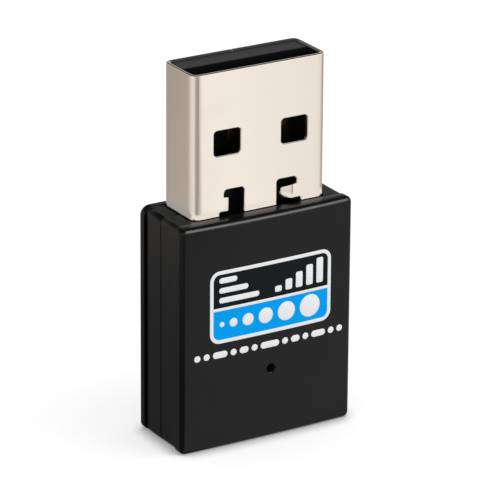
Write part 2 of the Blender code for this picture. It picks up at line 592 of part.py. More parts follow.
def small_parts():
    """The two-pad parts: around the chip on the back, and along the power and radio lines on the front."""
    beside = CHIP_SIDE / 2 + PART_GAP + PART_SIZE[1] / 2
    column = [CHIP_Z + place * PART_PITCH for place in (-2, -1, 0, 1, 2)]
    capacitors = [("back", -beside, z, True) for z in column]
    capacitors += [("back", beside, z, True) for z in column[:3]]
    resistors = [("back", beside, z, True) for z in column[3:]]
    above = CHIP_Z + beside
    capacitors += [("back", place * PART_PITCH, above, False) for place in (-2, 2)]
    resistors += [("back", place * PART_PITCH, above, False) for place in (-1, 1)]
    under_crystal = TOP_ROW_Z - CRYSTAL_SIZE[1] / 2 - PART_GAP - PART_SIZE[1] / 2
    for side in (-1, 1):
        capacitors.append(("front", CRYSTAL_X + side * PART_PITCH / 2, under_crystal, False))
    resistors.append(("front", PINHOLE_SHIFT, PINHOLE_HEIGHT + PART_PITCH, False))
    feed = BOARD_BOTTOM + ANTENNA_INSET + ANTENNA_HEIGHT + ANTENNA_FEED + PART_GAP
    for number, (face, x, z, upright) in enumerate(capacitors, 1):
        two_pad_part(f"capacitor_{number:02d}", face, x, z, PART_SIZE, upright, (0.55, 0.42, 0.28))
    for number, (face, x, z, upright) in enumerate(resistors, 1):
        two_pad_part(f"resistor_{number:02d}", face, x, z, RESISTOR_SIZE, upright, (0.03, 0.03, 0.035))
    under_regulator = TOP_ROW_Z - REGULATOR_SIZE[1] / 2 - REGULATOR_LEG - PART_GAP / 2 - POWER_PART_SIZE[1] / 2
    beside_middle = (POWER_PART_SIZE[0] + PART_GAP / 2) / 2
    for number, x in enumerate((REGULATOR_X - beside_middle, REGULATOR_X + beside_middle), 1):
        two_pad_part(f"power_capacitor_{number}", "front", x, under_regulator, POWER_PART_SIZE, False,
                     (0.6, 0.47, 0.32))
    for side, end in ((-1, "left"), (1, "right")):
        x = side * (ANTENNA_START + FILTER_SIZE[0] / 2 - ANTENNA_TRACE / 2)
        two_pad_part(f"rf_filter_{end}", "front", x, feed + FILTER_SIZE[1] / 2, FILTER_SIZE, False,
                     (0.2, 0.3, 0.42))
        beyond = side * (ANTENNA_START + FILTER_SIZE[0] + PART_GAP + PART_SIZE[1] / 2)
        two_pad_part(f"rf_inductor_{end}", "front", beyond, feed + PART_SIZE[0] / 2, PART_SIZE, True,
                     (0.75, 0.76, 0.78))


clear_scene()
front_cover()
rear_cover()
plug_shell()
plug_insulator()
for contact_name, (contact_x, contact_gap) in CONTACTS.items():
    contact(contact_name, contact_x, contact_gap)
circuit_board()
wifi_chip()
crystal()
status_led()
voltage_regulator()
power_inductor()
antenna("antenna_left", -1)
antenna("antenna_right", 1)
small_parts()
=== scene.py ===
"""USB wifi adapter on a pale floor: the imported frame, dressed piece by piece in the order of assembly."""
from math import cos, pi, radians, sin

import bmesh
import bpy
from mathutils import Matrix, Vector


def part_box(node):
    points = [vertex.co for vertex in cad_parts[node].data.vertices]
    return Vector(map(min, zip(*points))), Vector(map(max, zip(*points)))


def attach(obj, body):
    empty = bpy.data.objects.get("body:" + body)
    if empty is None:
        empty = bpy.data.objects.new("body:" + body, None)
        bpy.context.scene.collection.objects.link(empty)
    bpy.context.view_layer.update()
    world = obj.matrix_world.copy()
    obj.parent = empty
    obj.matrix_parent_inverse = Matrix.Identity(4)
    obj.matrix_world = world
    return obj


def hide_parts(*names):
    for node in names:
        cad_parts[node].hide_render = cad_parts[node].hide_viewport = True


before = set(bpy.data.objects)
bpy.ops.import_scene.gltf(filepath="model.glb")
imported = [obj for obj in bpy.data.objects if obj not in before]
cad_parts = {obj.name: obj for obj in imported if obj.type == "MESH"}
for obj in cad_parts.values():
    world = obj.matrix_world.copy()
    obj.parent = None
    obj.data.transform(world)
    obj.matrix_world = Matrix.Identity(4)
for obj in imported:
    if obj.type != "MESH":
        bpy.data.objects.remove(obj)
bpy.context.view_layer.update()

MM = 0.001

# ----------------------------------------------------------
# Camera
# A long lens a little above the adapter and to its left, level but for a hair of tilt and aimed just below
# the middle of its height.
camera_azimuth, camera_elevation, camera_tilt = radians(-31.45), radians(20.94), radians(0.43)
camera_target = Vector((0.19 * MM, -0.25 * MM, 14.757 * MM))
camera_distance = 306.9 * MM
camera = bpy.data.objects.new("camera", bpy.data.cameras.new("camera"))
bpy.context.scene.collection.objects.link(camera)
camera.data.sensor_width = 36.0
camera.data.lens = 282.07
camera.data.clip_start, camera.data.clip_end = 0.01, 20.0
turn = (Matrix.Rotation(camera_azimuth, 4, "Z") @ Matrix.Rotation(pi / 2 - camera_elevation, 4, "X")
        @ Matrix.Rotation(camera_tilt, 4, "Z"))
lens = camera_target + turn.to_3x3() @ Vector((0, 0, camera_distance))
camera.matrix_world = Matrix.Translation(lens) @ turn
bpy.context.scene.camera = camera
bpy.context.scene.view_settings.view_transform = "Standard"

# ----------------------------------------------------------
# Studio
# A flat white card in a white room that lights it evenly, with a softbox high at the front right. Gloss sees
# card and room in greys that change with direction, the card's greys a painted reflection; a strip lamp puts
# an edge light on the covers alone.
def add_node(tree, kind, inputs=None, **settings):
    """A shader node in the column after those that feed it, with its settings and inputs by name or number.

    An input is a plain value or a feed: a node, for its first output, or a pair of a node and the name or
    number of its output.
    """
    node = tree.nodes.new(kind if kind.startswith("Node") else "ShaderNode" + kind)
    for name, value in settings.items():
        setattr(node, name, value)
    column = 0
    for key, value in (inputs or {}).items():
        is_pair = isinstance(value, tuple) and isinstance(value[0], bpy.types.Node)
        source, end = value if is_pair else (value, 0)
        if isinstance(source, bpy.types.Node):
            tree.links.new(source.outputs[end], node.inputs[key])
            column = max(column, source.location.x + 220)
        else:
            node.inputs[key].default_value = (*value, 1.0) if node.inputs[key].type == "RGBA" else value
    node.location = (column, -280 * sum(other.location.x == column for other in tree.nodes))
    return node


def combine(tree, operation, *terms, kind="Math"):
    """A sum on numbers, or on vectors, each of them plain or a feed."""
    return add_node(tree, kind, dict(enumerate(terms)), operation=operation)


def remap(tree, source, low, high, to_low=0.0, to_high=1.0):
    """A value taken from one range to another and held inside it."""
    return add_node(tree, "MapRange", {"Value": source, 1: low, 2: high, 3: to_low, 4: to_high})


def blend_colours(tree, share, first, second):
    """A mix of two colours by a share, as a feed."""
    return add_node(tree, "Mix", {"Factor": share, 6: first, 7: second}, data_type="RGBA"), 2


def new_material(name):
    """An empty node material."""
    made = bpy.data.materials.new(name)
    made.use_nodes = True
    made.node_tree.nodes.clear()
    return made, made.node_tree


def three_looks(tree, end, lit, shown, mirrored):
    """Ends a tree in three looks of a surface: as it lights, as the lens sees it and as gloss mirrors it."""
    path = add_node(tree, "LightPath")
    to_lens = combine(tree, "MAXIMUM", (path, "Is Camera Ray"), (path, "Is Transmission Ray"))
    seen = add_node(tree, "MixShader", {0: to_lens, 1: lit, 2: shown})
    all_looks = add_node(tree, "MixShader", {0: (path, "Is Glossy Ray"), 1: seen, 2: mirrored})
    add_node(tree, end, {"Surface": all_looks})


def grey_ramp(tree, share, stops, warmth=0.0):
    """A colour ramp of greys at places from 0 to 1; with some warmth, the dark greys are brownish."""
    ramp = add_node(tree, "ValToRGB", {"Fac": share})
    points = ramp.color_ramp.elements
    while len(points) < len(stops):
        points.new(0.5)
    for point, (where, grey) in zip(points, stops):
        point.position = where
        point.color = (grey, grey ** (1 + warmth / 2), grey ** (1 + warmth), 1.0)
    return ramp


white = (1.0, 1.0, 1.0)
floor_size = 3.0
card_white = (0.86, 0.86, 0.86)
half_shading, shown_lift = (0.5, 0.5, 0.5), 0.61     # the lens sees half the card's shading, lifted to white
contact_reach, contact_dark = 1.7 * MM, 0.22         # and a darker line where the adapter stands on it
floor_mesh = bpy.data.meshes.new("floor")
corners = [(x * floor_size, y * floor_size, 0.0) for x, y in ((-1, -1), (1, -1), (1, 1), (-1, 1))]
floor_mesh.from_pydata(corners, [], [(0, 1, 2, 3)])
floor = bpy.data.objects.new("floor", floor_mesh)
bpy.context.scene.collection.objects.link(floor)
card, tree = new_material("floor_card")
matt = add_node(tree, "BsdfDiffuse", {"Color": card_white})
soft_shadow = add_node(tree, "BsdfDiffuse", {"Color": half_shading})
contact = add_node(tree, "AmbientOcclusion", {"Distance": contact_reach}, samples=16)
contact_shadow = remap(tree, (contact, "AO"), 0.5, 0.9, contact_dark, shown_lift)
lift = add_node(tree, "Emission", {"Color": white, "Strength": contact_shadow})
seen_card = add_node(tree, "AddShader", {0: soft_shadow, 1: lift})
place = (add_node(tree, "TexCoord"), "Object")


def tone_around(point, stops, warmth=0.0):
    """The card's painted reflection round a point: the grey that gloss sees, by degrees from the front, less
    than
    0 to the left.
    """
    to_front = {"Location": (point[1], 0.0 - point[0], 0.0), "Rotation": (0.0, 0.0, pi / 2), "Vector": place}
    around = add_node(tree, "TexGradient", {"Vector": add_node(tree, "Mapping", to_front)},
                      gradient_type="RADIAL")
    return grey_ramp(tree, (around, "Fac"), [(degrees / 360 + 0.5, grey) for degrees, grey in stops], warmth)


# Near the adapter the tone turns about its front left corner, further out about its middle. Close to it the
# greys are darker than further out but at the front right, with painted shade at the back left for the
# adapter's own shadow.
far_tone = tone_around((0.0, 0.0), (
    (-175, 0.55), (-149, 0.4), (-142, 0.5), (-132, 0.68), (-104, 0.8), (-67, 0.86), (-49, 0.84), (-32, 0.64),
    (-18, 0.43), (12, 0.4), (19, 0.43), (24, 1.08), (29, 1.04), (35, 0.94), (55, 0.75), (75, 0.42),
    (95, 0.36), (118, 0.85), (150, 0.55)), warmth=0.2)
near_tone = tone_around((-7.8 * MM, -3.4 * MM), (
    (-175, 0.2), (-149, 0.25), (-100, 0.1), (-60, 0.05), (8, 0.05), (20, 0.95), (85, 0.9), (97, 0.15),
    (150, 0.15), (178, 0.2)))
near_middle, near_end, far_start = (1 * MM, -1 * MM, 0.0), 43 * MM, 50 * MM
how_far = combine(tree, "DISTANCE", place, near_middle, kind="VectorMath")
further = remap(tree, (how_far, "Value"), near_end, far_start)
card_tone = blend_colours(tree, further, near_tone, far_tone)
# Painted reflection: the card glows in these greys to mirrored rays alone.
painted_card_reflection = add_node(tree, "Emission", {"Strength": 1.0, "Color": card_tone})
three_looks(tree, "OutputMaterial", matt, seen_card, painted_card_reflection)
floor_mesh.materials.append(card)

room_light = 0.75
world = bpy.data.worlds.new("studio_room")
bpy.context.scene.world = world
world.use_nodes = True
tree = world.node_tree
tree.nodes.clear()
room = add_node(tree, "Background", {"Color": white, "Strength": room_light})
backdrop = add_node(tree, "Background", {"Color": white, "Strength": 1.0})
# To gloss, the walls are light from the lens's height down and dark above, and sooner dark at the back.
direction = (add_node(tree, "TexCoord"), "Generated")
upward = (add_node(tree, "SeparateXYZ", {0: direction}), "Z")
front_wall = grey_ramp(tree, upward,
                       [(0.0, 1.0), (0.25, 1.15), (0.4, 1.2), (0.5, 0.2), (0.64, 0.06), (1.0, 0.04)])
back_wall = grey_ramp(tree, upward,
                      [(0.0, 0.8), (0.14, 0.7), (0.27, 0.3), (0.4, 0.18), (0.52, 0.05), (1.0, 0.04)])
to_back = combine(tree, "DOT_PRODUCT", direction, (0.0, 1.0, 0.0), kind="VectorMath")
is_back = remap(tree, (to_back, "Value"), 0.2, 0.6)
wall_tone = blend_colours(tree, is_back, front_wall, back_wall)
mirrored_room = add_node(tree, "Background", {"Strength": 1.0, "Color": wall_tone})
three_looks(tree, "OutputWorld", room, backdrop, mirrored_room)


def softbox(name, azimuth, elevation, distance, width, height, radiance):
    """A rectangular lamp that faces the adapter from a direction, as bright all over as radiance says."""
    lamp = bpy.data.lights.new(name, "AREA")
    lamp.shape = "RECTANGLE"
    lamp.size, lamp.size_y = width, height
    lamp.energy = radiance * pi * width * height
    holder = bpy.data.objects.new(name, lamp)
    bpy.context.scene.collection.objects.link(holder)
    aim = Matrix.Rotation(radians(azimuth), 4, "Z") @ Matrix.Rotation(pi / 2 - radians(elevation), 4, "X")
    middle = Vector((0, 0, 15 * MM))
    holder.matrix_world = Matrix.Translation(middle + aim.to_3x3() @ Vector((0, 0, distance))) @ aim
    return holder


overhead = softbox("overhead_softbox", 50.0, 58.0, 0.8, 0.45, 0.45, 2.6)
overhead.visible_glossy = False
edge_strip = softbox("edge_strip", 31.0, 27.0, 0.6, 0.3, 0.4, 13.0)
edge_strip.visible_diffuse = False
plastic_only = bpy.data.collections.new("lit_by_edge_strip")
edge_strip.light_linking.receiver_collection = plastic_only

# ----------------------------------------------------------
# Front cover
# The front half of the housing, injection moulded in black ABS with a fine satin skin. Its face is a proud
# cap with rounded edges; the walls behind it end at the seam and fit over the rear cover's lip. Posts, pads
# and a stop inside hold the board and the plug.
cap_width, body_depth, body_height = 15.6 * MM, 6.8 * MM, 18.8 * MM
front, back = -body_depth / 2, body_depth / 2
cap_depth, cap_corner, cap_fillet, cap_overhang = 1.2 * MM, 0.5 * MM, 0.42 * MM, 0.1 * MM
body_width = cap_width - 2 * cap_overhang
shell_step, shell_corner = 0.03 * MM, 0.5 * MM
wall, cavity_corner, lip_corner = 1.0 * MM, 0.4 * MM, 0.3 * MM
seam, seam_gap = front + 3.52 * MM, 0.1 * MM
rebate = 0.54 * MM
lip_length, lip_play = 0.7 * MM, 0.06 * MM
edge_round = 0.04 * MM           # the small radius that the mould leaves on every outer edge
corner_steps, least_corner = 10, 0.02 * MM


def corner_ring(width, height, corner, middle, steps=corner_steps, upper_corner=None):
    """Points round a rectangle with round corners, the same number whatever the corners' radii."""
    ring = []
    for turn_number, (right, upper) in enumerate([(1, -1), (1, 1), (-1, 1), (-1, -1)]):
        rounding = upper_corner if upper_corner and upper > 0 else corner
        for step in range(steps + 1):
            angle = radians(90 * (turn_number - 1 + step / steps))
            ring.append((middle[0] + right * (width / 2 - rounding) + rounding * cos(angle),
                         middle[1] + upper * (height / 2 - rounding) + rounding * sin(angle)))
    return ring


def quarter_round(start, end, steps=6, hollow=False):
    """Pairs of values that go from start to end along a quarter circle, the second value first."""
    points = []
    for step in range(1, steps + 1):
        angle = radians(90 * step / steps)
        first, second = (1 - cos(angle), sin(angle)) if not hollow else (sin(angle), 1 - cos(angle))
        points.append((start[0] + (end[0] - start[0]) * first, start[1] + (end[1] - start[1]) * second))
    return points


def rounded(outline, start, end, steps=6, hollow=False):
    """Rings of an outline round a quarter circle, from one pair of an inset and a place to another."""
    return [(place, outline(inset)) for inset, place in quarter_round(start, end, steps, hollow)]


def skin(name, rows, closed=False):
    """A closed skin through rows of points, with flat ends or joined to itself."""
    shape = bmesh.new()
    rows = [[shape.verts.new(point) for point in row] for row in rows]
    count = len(rows[0])
    for lower, upper in list(zip(rows, rows[1:])) + ([(rows[-1], rows[0])] if closed else []):
        for index in range(count):
            after = (index + 1) % count
            shape.faces.new((lower[index], lower[after], upper[after], upper[index]))
    if not closed:
        shape.faces.new(rows[0])
        shape.faces.new(rows[-1])
    bmesh.ops.recalc_face_normals(shape, faces=shape.faces)
    mesh = bpy.data.meshes.new(name)
    shape.to_mesh(mesh)
    shape.free()
    return bpy.data.objects.new(name, mesh)


def loft(name, rings, along, closed=False):
    """A skin through flat rings, each given with its place along an axis."""
    at = "XYZ".index(along)
    return skin(name, [[(*point[:at], place, *point[at:]) for point in ring] for place, ring in rings],
                closed)


def housing_ring(inset, corner, upper_corner=None, upper_inset=None):
    """The housing's outline, drawn in by an inset, or at the top by one of its own."""
    upper_inset = inset if upper_inset is None else upper_inset
    return corner_ring(body_width - 2 * inset, body_height - inset - upper_inset, max(corner, least_corner),
                       (0.0, (body_height + inset - upper_inset) / 2), upper_corner=upper_corner)


def wall_ring(inset):
    """The walls' outline, a hair inside the cap's and the rim's, drawn in by an inset."""
    return housing_ring(shell_step + inset, shell_corner - inset)


def cap_ring(inset):
    """The cap's outline, drawn in by an inset."""
    return corner_ring(cap_width - 2 * inset, body_height - 2 * inset, max(cap_corner - inset, least_corner),
                       (0.0, body_height / 2))


def carve(piece, tool, operation="DIFFERENCE"):
    """Adds an exact Boolean with a tool that isn't shown."""
    bpy.context.scene.collection.objects.link(tool)
    tool.hide_render = tool.hide_viewport = True
    boolean = piece.modifiers.new(tool.name, "BOOLEAN")
    boolean.operation, boolean.solver, boolean.object = operation, "EXACT", tool


def settle(piece):
    """Works out a piece's Booleans, clears its tools away and shades round edges smooth, flat ones flat."""
    bpy.context.scene.collection.objects.link(piece)
    bpy.context.view_layer.update()
    tools = [modifier.object for modifier in piece.modifiers if modifier.type == "BOOLEAN"]
    mesh = bpy.data.meshes.new_from_object(piece.evaluated_get(bpy.context.evaluated_depsgraph_get()))
    piece.modifiers.clear()
    piece.data = mesh
    mesh.name = piece.name
    for tool in tools:
        bpy.data.objects.remove(tool, do_unlink=True)
    shape = bmesh.new()
    shape.from_mesh(mesh)
    bmesh.ops.remove_doubles(shape, verts=shape.verts, dist=2e-7)
    bmesh.ops.dissolve_degenerate(shape, edges=shape.edges, dist=1e-7)
    shape.to_mesh(mesh)
    shape.free()
    mesh.shade_smooth()
    mesh.set_sharp_from_angle(angle=radians(32))
    weigh = piece.modifiers.new("flat_faces_stay_flat", "WEIGHTED_NORMAL")
    weigh.keep_sharp, weigh.weight = True, 50


def dress(piece, node, material):
    """Puts a finished piece in its CAD node's place, with its material."""
    piece.data.materials.clear()
    piece.data.materials.append(material)
    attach(piece, "root")
    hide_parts(node)


def circle(x, z, radius, sides):
    """Points round a circle in the plane of the face."""
    return [(x + radius * cos(2 * pi * side / sides), z + radius * sin(2 * pi * side / sides))
            for side in range(sides)]


def bar(name, x, z, y_low, y_high):
    """A round bar along Y, for the posts that hold the board."""
    return loft(name, [(y, circle(x, z, post_radius, 32)) for y in (y_low, y_high)], "Y")


def block(name, x, y, z):
    """A plain bar between two values on each axis, for cutters and for ribs inside the housing."""
    ring = [(x[0], y[0]), (x[1], y[0]), (x[1], y[1]), (x[0], y[1])]
    return loft(name, [(z[0], ring), (z[1], ring)], "Z")


plug_width, plug_depth = 12.0 * MM, 4.5 * MM
plug_low, plug_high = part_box("plug_shell")
plug_tip = plug_high.z
plug_y = (plug_low.y + plug_high.y) / 2
plug_front = plug_y - plug_depth / 2
plug_seat = 4.2 * MM
plug_end, leg_end = body_height - plug_seat, plug_low.z
fold_steps = 16
fold_size, fold_squareness, plug_play = 0.9 * MM, 3.4, 0.1 * MM
fold_bend = fold_squareness / (2 * (fold_squareness - 1))
opening_lead = 0.09 * MM


def plug_ring(inset):
    """The plug's section, drawn in by an inset. Its folds bend slowly at first and fast in the middle."""
    ring = []
    for turn_number, (right, rear) in enumerate([(1, -1), (1, 1), (-1, 1), (-1, -1)]):
        for step in range(fold_steps + 1):
            facing = radians(90 * (step if right * rear > 0 else fold_steps - step) / fold_steps)
            slope = (sin(facing) ** fold_bend, cos(facing) ** fold_bend)
            length = (slope[0] ** 2 + slope[1] ** 2) ** 0.5
            across, deep = [(share / length) ** (2 / fold_squareness) for share in (slope[1], slope[0])]
            ring.append((right * (plug_width / 2 - fold_size + (fold_size - inset) * across),
                         plug_y + rear * (plug_depth / 2 - fold_size + (fold_size - inset) * deep)))
    return ring


def plug_opening(name):
    """Cutter for the opening that the plug comes out of, with a rounded lip at the top."""
    lip, below, above = body_height - opening_lead, 0.05 * MM, 1.0 * MM
    rings = [(leg_end - below, plug_ring(-plug_play)), (lip, plug_ring(-plug_play))]
    rings += rounded(plug_ring, (-plug_play, lip), (-plug_play - opening_lead, body_height))
    rings.append((body_height + above, plug_ring(-plug_play - opening_lead)))
    return loft(name, rings, "Z")


cap_back, wall_end, lip_room = front + cap_depth, seam - seam_gap / 2, seam - lip_length - lip_play
rebate_ring, cavity_ring = housing_ring(rebate, lip_corner + lip_play), housing_ring(wall, cavity_corner)
rings = [(front, cap_ring(cap_fillet))]
rings += rounded(cap_ring, (cap_fillet, front), (0.0, front + cap_fillet), 10, hollow=True)
rings.append((cap_back - edge_round, cap_ring(0.0)))
rings += rounded(cap_ring, (0.0, cap_back - edge_round), (edge_round, cap_back), 3)
rings += [(cap_back + 0.001 * MM, wall_ring(0.0)), (wall_end - edge_round, wall_ring(0.0))]
rings += rounded(wall_ring, (0.0, wall_end - edge_round), (edge_round, wall_end), 3)
rings += [(wall_end, rebate_ring), (lip_room, rebate_ring), (lip_room, cavity_ring),
          (front + wall, cavity_ring)]
front_cover = loft("front_cover_moulding", rings, "Y")
crown_drop, crown_strips = 0.2 * MM, 30


def crown(piece):
    """Bows a piece like the face: its sides fall back a little behind the middle, less with depth."""
    shape = bmesh.new()
    shape.from_mesh(piece.data)
    for strip in range(1, crown_strips):
        across = cap_width * (strip / crown_strips - 0.5)
        bmesh.ops.bisect_plane(shape, geom=shape.verts[:] + shape.edges[:] + shape.faces[:], dist=1e-8,
                               plane_co=(across, 0.0, 0.0), plane_no=(1.0, 0.0, 0.0))
    for vertex in shape.verts:
        fade = min(max((front + cap_depth - vertex.co.y) / cap_depth, 0.0), 1.0)
        vertex.co.y += crown_drop * fade * (2 * vertex.co.x / cap_width) ** 2
    shape.to_mesh(piece.data)
    shape.free()


crown(front_cover)
carve(front_cover, plug_opening("front_opening"))
board_low, board_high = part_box("circuit_board")
post_inset, post_radius, post_play = 0.85 * MM, 0.5 * MM, 0.03 * MM
post_x, seat_play = (board_high.x - board_low.x) / 2 - post_inset, 0.05 * MM
pad_x, pad_width, pad_height = 4.0 * MM, 1.2 * MM, 2.2 * MM
stop_width, stop_lap, stop_height = 7.0 * MM, 0.3 * MM, 1.0 * MM
for side in (-1, 1):
    carve(front_cover, bar(f"front_post_{side}", side * post_x, board_low.z + post_inset,
                           front + wall / 2, board_low.y - post_play), "UNION")
for side in (-1, 1):
    carve(front_cover, block(f"plug_pad_{side}", (side * pad_x - pad_width / 2, side * pad_x + pad_width / 2),
                             (front + wall / 2, plug_front - seat_play),
                             (plug_end + seat_play, plug_end + pad_height)), "UNION")
carve(front_cover, block("plug_stop", (-stop_width / 2, stop_width / 2),
                         (front + wall / 2, plug_front + stop_lap),
                         (plug_end - seat_play - stop_height, plug_end - seat_play)), "UNION")
pinhole_x, pinhole_z, pinhole_radius, pinhole_round = 0.28 * MM, 5.85 * MM, 0.38 * MM, 0.06 * MM
wide = pinhole_radius + pinhole_round
pinhole_profile = [(wide, front - wall), (wide, front)]
pinhole_profile += quarter_round((wide, front), (pinhole_radius, front + pinhole_round), 5)
pinhole_profile.append((pinhole_radius, front + 2 * wall))
carve(front_cover, loft("pinhole", [(y, circle(pinhole_x, pinhole_z, radius, 48))
                                    for radius, y in pinhole_profile], "Y"))
settle(front_cover)


def new_group(name, takes, gives):
    """An empty node group with numbers going in and out, and the node that brings them in."""
    group = bpy.data.node_groups.new(name, "ShaderNodeTree")
    for way, names in (("INPUT", takes), ("OUTPUT", gives)):
        for socket in names:
            group.interface.new_socket(socket, in_out=way, socket_type="NodeSocketFloat")
    return group, add_node(group, "NodeGroupInput")


def noise(tree, where, scale, detail, roughness=0.5):
    """Clouds of noise from 0 to 1, as a feed."""
    inputs = {"Vector": where, "Scale": scale, "Detail": detail, "Roughness": roughness}
    return add_node(tree, "TexNoise", inputs), "Fac"


def moulded_grain():
    """Node group: the skin that a mould leaves on plastic, as a height, a tone and a gloss value."""
    group, given = new_group("moulded_grain", ("Grain Size", "Unevenness"), ("Height", "Tone", "Gloss"))
    place = (add_node(group, "TexCoord"), "Object")
    turns = combine(group, "DIVIDE", 1.0, (given, "Grain Size"))
    fine = noise(group, place, turns, 2.0, 0.6)
    pits = add_node(group, "TexVoronoi", {"Vector": place, "Scale": turns}, feature="F1")
    cloud = noise(group, place, 260.0, 4.0)
    flow = noise(group, place, 700.0, 3.0)
    height = combine(group, "MULTIPLY_ADD", (pits, "Distance"), 0.35, fine)
    tone = remap(group, cloud, 0.25, 0.75)
    centred = combine(group, "SUBTRACT", flow, 0.5)
    gloss = combine(group, "MULTIPLY", centred, (given, "Unevenness"))
    add_node(group, "NodeGroupOutput", {"Height": height, "Tone": tone, "Gloss": gloss})
    return group


def edge_rub():
    """Node group: where handling has polished or worn the edges, from 0 to 1."""
    group, given = new_group("edge_rub", ("Width", "Breaks"), ("Rub",))
    softened = add_node(group, "Bevel", {"Radius": (given, "Width")}, samples=4)
    flat = add_node(group, "NewGeometry")
    match = combine(group, "DOT_PRODUCT", softened, (flat, "Normal"), kind="VectorMath")
    turned = remap(group, (match, "Value"), 0.998, 0.93)
    place = (add_node(group, "TexCoord"), "Object")
    patches = noise(group, place, (given, "Breaks"), 3.0, 0.65)
    broken = remap(group, patches, 0.35, 0.68)
    rub = combine(group, "MULTIPLY", turned, broken)
    add_node(group, "NodeGroupOutput", {"Rub": rub})
    return group


def use_group(tree, group, **values):
    """Places a node group in a material with its own values."""
    node = add_node(tree, "Group", node_tree=group)
    for name, value in values.items():
        node.inputs[name.replace("_", " ").title()].default_value = value
    return node


def painted_top_glow(tree, shader, strength):
    """Adds a painted reflection: a glow that mirrored rays alone see on the housing's top, outside the plug's
    gap, full in front of the plug and less than half as strong behind it, though the top is no lamp.
    """
    place = (add_node(tree, "TexCoord"), "Object")
    split = add_node(tree, "SeparateXYZ", {0: place})
    at_top = remap(tree, (split, "Z"), 18.2 * MM, 18.4 * MM)
    from_plug = combine(tree, "SUBTRACT", place, (0.0, plug_y, 0.0), kind="VectorMath")
    either_way = combine(tree, "ABSOLUTE", from_plug, kind="VectorMath")
    beyond = combine(tree, "SUBTRACT", either_way, (plug_width / 2, plug_depth / 2, 0.0), kind="VectorMath")
    sides = add_node(tree, "SeparateXYZ", {0: beyond})
    furthest = combine(tree, "MAXIMUM", (sides, "X"), (sides, "Y"))
    past_gap = remap(tree, furthest, 0.14 * MM, 0.24 * MM)
    glow_place = combine(tree, "MULTIPLY", at_top, past_gap)
    mirrored = (add_node(tree, "LightPath"), "Is Glossy Ray")
    to_gloss = combine(tree, "MULTIPLY", glow_place, mirrored)
    tone = remap(tree, (split, "Y"), plug_low.y, plug_low.y + 1.0 * MM, strength, 0.45 * strength)
    glow = add_node(tree, "Emission", {"Color": white, "Strength": tone})
    return add_node(tree, "MixShader", {0: to_gloss, 1: shader, 2: glow})


def surface(tree, colour, roughness, height, strength, depth, more=None, glow=0.0):
    """A material's shader and output: its colour, its roughness, a height that bumps it and more inputs."""
    bump = add_node(tree, "Bump", {"Height": height, "Strength": strength, "Distance": depth})
    shader = add_node(tree, "BsdfPrincipled",
                      {"Base Color": colour, "Roughness": roughness, "Normal": bump, **(more or {})})
    add_node(tree, "OutputMaterial", {"Surface": painted_top_glow(tree, shader, glow) if glow else shader})


grain_group, rub_group = moulded_grain(), edge_rub()


def black_plastic(name, dark, pale, rubbed, gloss, grain_size, grain_depth, glow=0.0, painted_lit_top=None):
    """Moulded plastic: a clouded tone, a satin grain and edges polished by handling.

    Metal beside its top mirrors a painted glow there, as strong as glow says: a painted reflection, since
    the top is no lamp. Above the height given with a paler colour, the top face is painted paler, where light
    from above falls on it, while the faces below stay in shade.
    """
    made, tree = new_material(name)
    grain = use_group(tree, grain_group, grain_size=grain_size, unevenness=0.12)
    rub = use_group(tree, rub_group, width=0.12 * MM, breaks=900.0)
    tone = blend_colours(tree, (grain, "Tone"), dark, pale)
    colour = blend_colours(tree, rub, tone, rubbed)
    # Painted light: above the given height the top face is paler, where light from above falls on it.
    if painted_lit_top:
        lit_top_from, lit_top_colour = painted_lit_top
        place = (add_node(tree, "TexCoord"), "Object")
        up = (add_node(tree, "SeparateXYZ", {0: place}), "Z")
        is_end = remap(tree, up, lit_top_from, lit_top_from + 0.02 * MM)
        colour = blend_colours(tree, is_end, colour, lit_top_colour)
    rough = combine(tree, "ADD", gloss, (grain, "Gloss"))
    polished = combine(tree, "MULTIPLY_ADD", rub, -0.08, rough)
    surface(tree, colour, polished, (grain, "Height"), 0.5, grain_depth, {"Specular IOR Level": 0.2}, glow)
    return made


# The covers' top glows beside the plug to mirrored rays alone: a painted reflection for the plug's front.
housing_black = black_plastic("housing_black", (0.0034, 0.0034, 0.0035), (0.0052, 0.0052, 0.0054),
                              (0.0075, 0.0075, 0.0078), 0.3, 0.05 * MM, 0.004 * MM, glow=0.93)
dress(front_cover, "front_cover", material=housing_black)
plastic_only.objects.link(front_cover)

# ----------------------------------------------------------
# Rear cover
# The rear half, moulded in the same plastic. A rim runs round the back plate with a shadow groove in
# front of it, and a lip slides inside the front cover's walls.
rim_depth, rim_corner, rim_upper_corner, rim_fillet = 0.69 * MM, 0.58 * MM, 0.8 * MM, 0.2 * MM
groove_width, groove_depth, groove_line = 0.55 * MM, 0.28 * MM, 0.06 * MM
rear_wall, lip_inset = 0.75 * MM, 0.6 * MM
rim_front, walls_back, walls_front = back - rim_depth, back - rim_depth - groove_width, seam + seam_gap / 2


def rim_ring(inset):
    """The rim's outline, drawn in by an inset."""
    return housing_ring(inset, rim_corner - inset, rim_upper_corner - inset)


groove_ring = housing_ring(groove_depth, shell_corner + shell_step - groove_depth, shell_corner, groove_line)
lip_ring = housing_ring(lip_inset, lip_corner)
rings = [(back, rim_ring(rim_fillet))]
rings += rounded(rim_ring, (rim_fillet, back), (0.0, back - rim_fillet), 6, hollow=True)
rings.append((rim_front + edge_round, rim_ring(0.0)))
rings += rounded(rim_ring, (0.0, rim_front + edge_round), (edge_round, rim_front), 3)
rings += [(rim_front, groove_ring), (walls_back, groove_ring), (walls_back, wall_ring(edge_round))]
rings += rounded(wall_ring, (edge_round, walls_back), (0.0, walls_back - edge_round), 3, hollow=True)
rings.append((walls_front + edge_round, wall_ring(0.0)))
rings += rounded(wall_ring, (0.0, walls_front + edge_round), (edge_round, walls_front), 3)
rings += [(walls_front, lip_ring), (seam - lip_length, lip_ring)]
rings += [(seam - lip_length, cavity_ring), (back - rear_wall, cavity_ring)]
